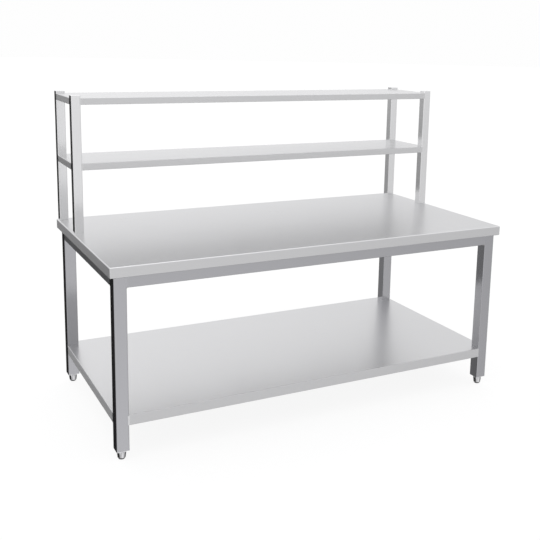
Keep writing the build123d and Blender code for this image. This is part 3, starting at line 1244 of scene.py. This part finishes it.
class WORKTABLE_OT_feet(PieceOperator):
    """Build the leg inserts, the bullet feet on their screws and the glide pads"""

    bl_idname = "worktable.feet"
    bl_label = "Feet"

    def execute(self, context):
        for corner in CORNERS:
            self.insert(corner)
            self.foot(corner)
            self.pad(corner)
        return {"FINISHED"}

    @staticmethod
    def insert(corner):
        """A collar closing the leg: square under the leg, tapering to the round foot."""
        sheets = settings().sheets
        node = f"leg_insert_{corner}"
        low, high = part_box(node)
        leg_low, leg_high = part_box(f"leg_{corner}")
        foot_low, foot_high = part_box(f"foot_{corner}")
        centre = middle_of(f"leg_{corner}")
        centre.z = 0
        steps = sheets.bend_steps * 2
        flange = leg_high.x - leg_low.x - 0.0006
        plug = leg_high.x - leg_low.x - 2 * sheets.tube_wall - 0.0004
        foot_width = foot_high.x - foot_low.x
        bore = 0.00908
        rim = 0.0014
        bm = bmesh.new()
        loops = []

        def square(width, radius, height, wear=0.0):
            outline = rounded_outline(width, width, radius, steps)
            points = [Vector((centre.x + x, centre.y + y, height)) for x, y in outline]
            loops.append(add_loop(bm, points, wear))

        def blended(share, height, radius):
            outline = rounded_outline(flange, flange, sheets.tube_corner, steps)
            points = []
            for x, y in outline:
                turn = math.atan2(y, x)
                round_x, round_y = radius * math.cos(turn), radius * math.sin(turn)
                px = x + (round_x - x) * share
                py = y + (round_y - y) * share
                points.append(Vector((centre.x + px, centre.y + py, height)))
            loops.append(add_loop(bm, points))

        leg_end = leg_low.z
        square(plug, sheets.tube_corner - sheets.tube_wall, high.z - 0.0008)
        square(plug, sheets.tube_corner - sheets.tube_wall, leg_end)
        square(flange, sheets.tube_corner, leg_end, 0.3)
        square(flange, sheets.tube_corner, leg_end - rim, 0.5)
        collar = foot_width / 2 + 0.0012
        drop = leg_end - rim - low.z
        for share in (0.06, 0.2, 0.42, 0.66, 0.86, 0.97, 1.0):
            level = leg_end - rim - drop * (1 - math.cos(share * math.pi / 2)) ** 0.9
            blended(math.sin(share * math.pi / 2), level, collar)
        blended(1.0, low.z, collar - 0.0008)
        blended(1.0, low.z, bore)
        blended(1.0, high.z, bore)
        square(plug - 0.0016, sheets.tube_corner - sheets.tube_wall, high.z)
        skin_loops(bm, loops, ring=True)
        place_piece(bm, f"{node}_collar", "turned_steel", stands_for=[node])

    @staticmethod
    def foot(corner):
        """A polished bullet foot on its threaded stem, hollow underneath for the pad's spigot."""
        fasteners = settings().fasteners
        node = f"foot_{corner}"
        low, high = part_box(node)
        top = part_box(f"leg_insert_{corner}")[0].z
        centre = middle_of(node)
        centre.z = 0
        radius = (high.x - low.x) / 2
        bottom = low.z
        spigot = 0.0041
        recess = 0.0106
        body = rounded_profile(
            (
                (0, top - 0.0002, 0),
                (radius * 0.92, top - 0.0002, 0.0004),
                (radius, top - 0.0022, 0.0012),
                (radius * 0.985, top - 0.010, 0.010),
                (radius * 0.85, bottom, 0.0072),
                (spigot, bottom, 0.0003),
                (spigot, recess, 0.0003),
                (0, recess, 0),
            ),
            8,
        )
        bm = bmesh.new()
        lathe(bm, body, centre, 64)
        threaded_rod(bm, centre, top - 0.0002, high.z, fasteners.foot_thread, fasteners.foot_pitch)
        place_piece(
            bm,
            f"{node}_bullet",
            "polished_steel",
            body=f"bullet_foot_{corner}",
            stands_for=[node],
        )

    @staticmethod
    def pad(corner):
        """A moulded pad with a spigot that clips up into the foot."""
        node = f"glide_pad_{corner}"
        low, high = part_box(node)
        centre = middle_of(node)
        centre.z = 0
        radius = (high.x - low.x) / 2
        disc = 0.003
        spigot = 0.004
        profile = rounded_profile(
            (
                (0.0, 0.0004, 0),
                (radius * 0.45, 0.0004, 0.0002),
                (radius * 0.5, 0.0, 0.0003),
                (radius * 0.9, 0.0, 0.0008),
                (radius, disc * 0.45, 0.0006),
                (radius * 0.98, disc, 0.0006),
                (spigot, disc, 0.0002),
                (spigot, high.z, 0.0006),
                (0.0, high.z, 0),
            ),
            4,
        )
        bm = bmesh.new()
        lathe(bm, profile, centre, 48)
        place_piece(
            bm,
            f"{node}_moulding",
            "pad_nylon",
            body=f"pad_{corner}",
            stands_for=[node],
        )


# --- Studio ---------------------------------------------------------------------------------


def direction(azimuth, elevation):
    """A unit direction, with azimuth 0 along +Y and 90 along +X, in degrees."""
    a, e = math.radians(azimuth), math.radians(elevation)
    return (math.sin(a) * math.cos(e), math.cos(a) * math.cos(e), math.sin(e))


class WORKTABLE_OT_studio(PieceOperator):
    """Set up the soft studio light, the pale floor and the camera"""

    bl_idname = "worktable.studio"
    bl_label = "Studio"

    def execute(self, context):
        scene = context.scene
        scene.view_settings.view_transform = "Standard"
        scene.view_settings.look = "None"
        self.light(scene)
        self.floor(scene)
        self.camera(scene)
        return {"FINISHED"}

    @staticmethod
    def light(scene):
        """Soft light from all round, with black flags and a dark floor below the horizon."""
        studio = settings().studio
        world = bpy.data.worlds.new("studio_light")
        scene.world = world
        world.use_nodes = True
        shader = Shader(world.node_tree)
        toward = shader.node("ShaderNodeTexCoord", output="Generated")

        def lobe(azimuth, elevation, half_width, squash=1.0):
            """A patch of sky: 1 at its middle, half at half_width degrees, taller if squashed."""
            at_half = (1 + math.cos(math.radians(half_width))) / 2
            sharpness = math.log(0.5) / math.log(at_half)
            middle = Vector(direction(azimuth, elevation))
            middle.z *= squash
            shape = shader.scaled(toward, (1, 1, squash))
            flattened = shader.node("ShaderNodeVectorMath", {"operation": "NORMALIZE"}, {0: shape})
            facing = shader.node(
                "ShaderNodeVectorMath",
                {"operation": "DOT_PRODUCT"},
                {0: flattened, 1: middle.normalized()},
                output="Value",
            )
            return (facing * 0.5 + 0.5) ** sharpness

        height = shader.node("ShaderNodeSeparateXYZ", {}, {"Vector": toward}, output="Z")
        from_horizon = (height - math.sin(math.radians(3))).math("ABSOLUTE")
        sky = studio.ambient + (1 - from_horizon) ** 16 * studio.horizon
        sky = sky + lobe(0, 90, 35) * studio.overhead
        sky = sky + lobe(-118, 5, 28) * studio.corner_light
        sky = sky + lobe(168, -14, 18) * studio.front_light
        sky = sky + lobe(165, -54, 20) * studio.low_light
        sky = sky + lobe(2, 42, 40, 0.8) * studio.back_light
        # Black flags below the horizon: a tall one behind the left end, a paler one behind,
        # one at each side, and the dark floor.
        below = shader.between(height, 0.06, -0.06)
        tall_flag = shader.between(lobe(-14, -15, 16, 0.45), 0.3, 0.75)
        sky = sky * (1 - tall_flag * below * 0.97)
        sky = sky * (1 - lobe(-40, -14, 12, 0.6) * below * 0.6)
        side_flag = shader.between(lobe(-76, -28, 34), 0.35, 0.8)
        sky = sky * (1 - side_flag * below * 0.97)
        sky = sky * (1 - lobe(72, -28, 26) * below * 0.85)
        sky = sky * (1 - lobe(0, -90, 32) * 0.9)
        channels = {"Red": sky, "Green": sky, "Blue": sky * 1.01}
        colour = shader.node("ShaderNodeCombineColor", {}, channels)
        seen = shader.node("ShaderNodeLightPath", output="Is Camera Ray")
        around = shader.node("ShaderNodeBackground", {}, {"Color": colour, "Strength": 1.0})
        behind = shader.node(
            "ShaderNodeBackground", {}, {"Color": grey(studio.backdrop), "Strength": 1.0}
        )
        both = shader.node("ShaderNodeMixShader", {}, {0: seen, 1: around, 2: behind})
        shader.node("ShaderNodeOutputWorld", {}, {"Surface": both})

    @staticmethod
    def floor(scene):
        """A pale floor that takes a faint shadow, wide enough to meet the backdrop."""
        studio = settings().studio
        radius = 60.0
        bm = bmesh.new()
        loops = []
        for share in (0.02, 0.06, 0.2, 0.5, 1.0):
            outline = circle_outline(radius * share, 96)
            loops.append([bm.verts.new((x, y, 0.0)) for x, y in outline])
        skin_loops(bm, loops)
        cap_loop(bm, loops[0])
        bmesh.ops.recalc_face_normals(bm, faces=bm.faces)
        mesh = bpy.data.meshes.new("floor")
        bm.to_mesh(mesh)
        bm.free()
        floor = bpy.data.objects.new("floor", mesh)
        scene.collection.objects.link(floor)
        material = bpy.data.materials.new("pale_floor")
        material.use_nodes = True
        shader = Shader(material.node_tree)
        tone = shader.noise(shader.place(), 0.8, 3.0, 0.5)
        paint = shader.mix_colour(tone, grey(0.88), grey(0.9))
        matt = shader.node("ShaderNodeBsdfDiffuse", {}, {"Color": paint})
        glow = shader.node(
            "ShaderNodeEmission", {}, {"Color": grey(studio.backdrop), "Strength": 1.05}
        )
        glow_share = 0.85
        both = shader.node("ShaderNodeMixShader", {}, {0: glow_share, 1: matt, 2: glow})
        shader.node("ShaderNodeOutputMaterial", {}, {"Surface": both})
        mesh.materials.append(material)
        floor.visible_glossy = False

    @staticmethod
    def camera(scene):
        """The camera, turned, tilted and rolled as set."""
        studio = settings().studio
        data = bpy.data.cameras.new("camera")
        data.lens = studio.focal_length
        data.shift_x, data.shift_y = studio.camera_shift
        data.dof.use_dof = False
        camera = bpy.data.objects.new("camera", data)
        camera.location = studio.camera_place
        camera.rotation_mode = "XYZ"
        turn, tilt, roll = studio.camera_turn, studio.camera_tilt, studio.camera_roll
        ahead = Vector(direction(math.degrees(turn), -math.degrees(tilt)))
        upright = ahead.to_track_quat("-Z", "Y").to_matrix()
        camera.rotation_euler = (upright @ Matrix.Rotation(roll, 3, "Z")).to_euler()
        scene.collection.objects.link(camera)
        scene.camera = camera


# --- Panel and registration ------------------------------------------------------------------

STEPS = (
    WORKTABLE_OT_worktop,
    WORKTABLE_OT_base_frame,
    WORKTABLE_OT_undershelf,
    WORKTABLE_OT_overshelf,
    WORKTABLE_OT_fasteners,
    WORKTABLE_OT_feet,
    WORKTABLE_OT_studio,
)


class WORKTABLE_PT_sidebar(bpy.types.Panel):
    """Lists the steps that build the table."""

    bl_idname = "WORKTABLE_PT_sidebar"
    bl_label = "Work Table"
    bl_space_type = "VIEW_3D"
    bl_region_type = "UI"
    bl_category = "Work Table"

    def draw(self, context):
        column = self.layout.column(align=True)
        for step in STEPS:
            column.operator(step.bl_idname)


CLASSES = (
    SheetSizes,
    FastenerSizes,
    FinishColours,
    StudioSettings,
    WorkTableSettings,
    *STEPS,
    WORKTABLE_PT_sidebar,
)


def register():
    """Registers the settings, operators and panel."""
    for item in CLASSES:
        bpy.utils.register_class(item)
    bpy.types.Scene.work_table = PointerProperty(type=WorkTableSettings)


def unregister():
    """Removes the settings, operators and panel."""
    del bpy.types.Scene.work_table
    for item in reversed(CLASSES):
        bpy.utils.unregister_class(item)


def main():
    """Builds the whole table and its studio."""
    register()
    bpy.ops.worktable.worktop()
    bpy.ops.worktable.base_frame()
    bpy.ops.worktable.undershelf()
    bpy.ops.worktable.overshelf()
    bpy.ops.worktable.fasteners()
    bpy.ops.worktable.feet()
    bpy.ops.worktable.studio()


if __name__ == "__main__":
    main()
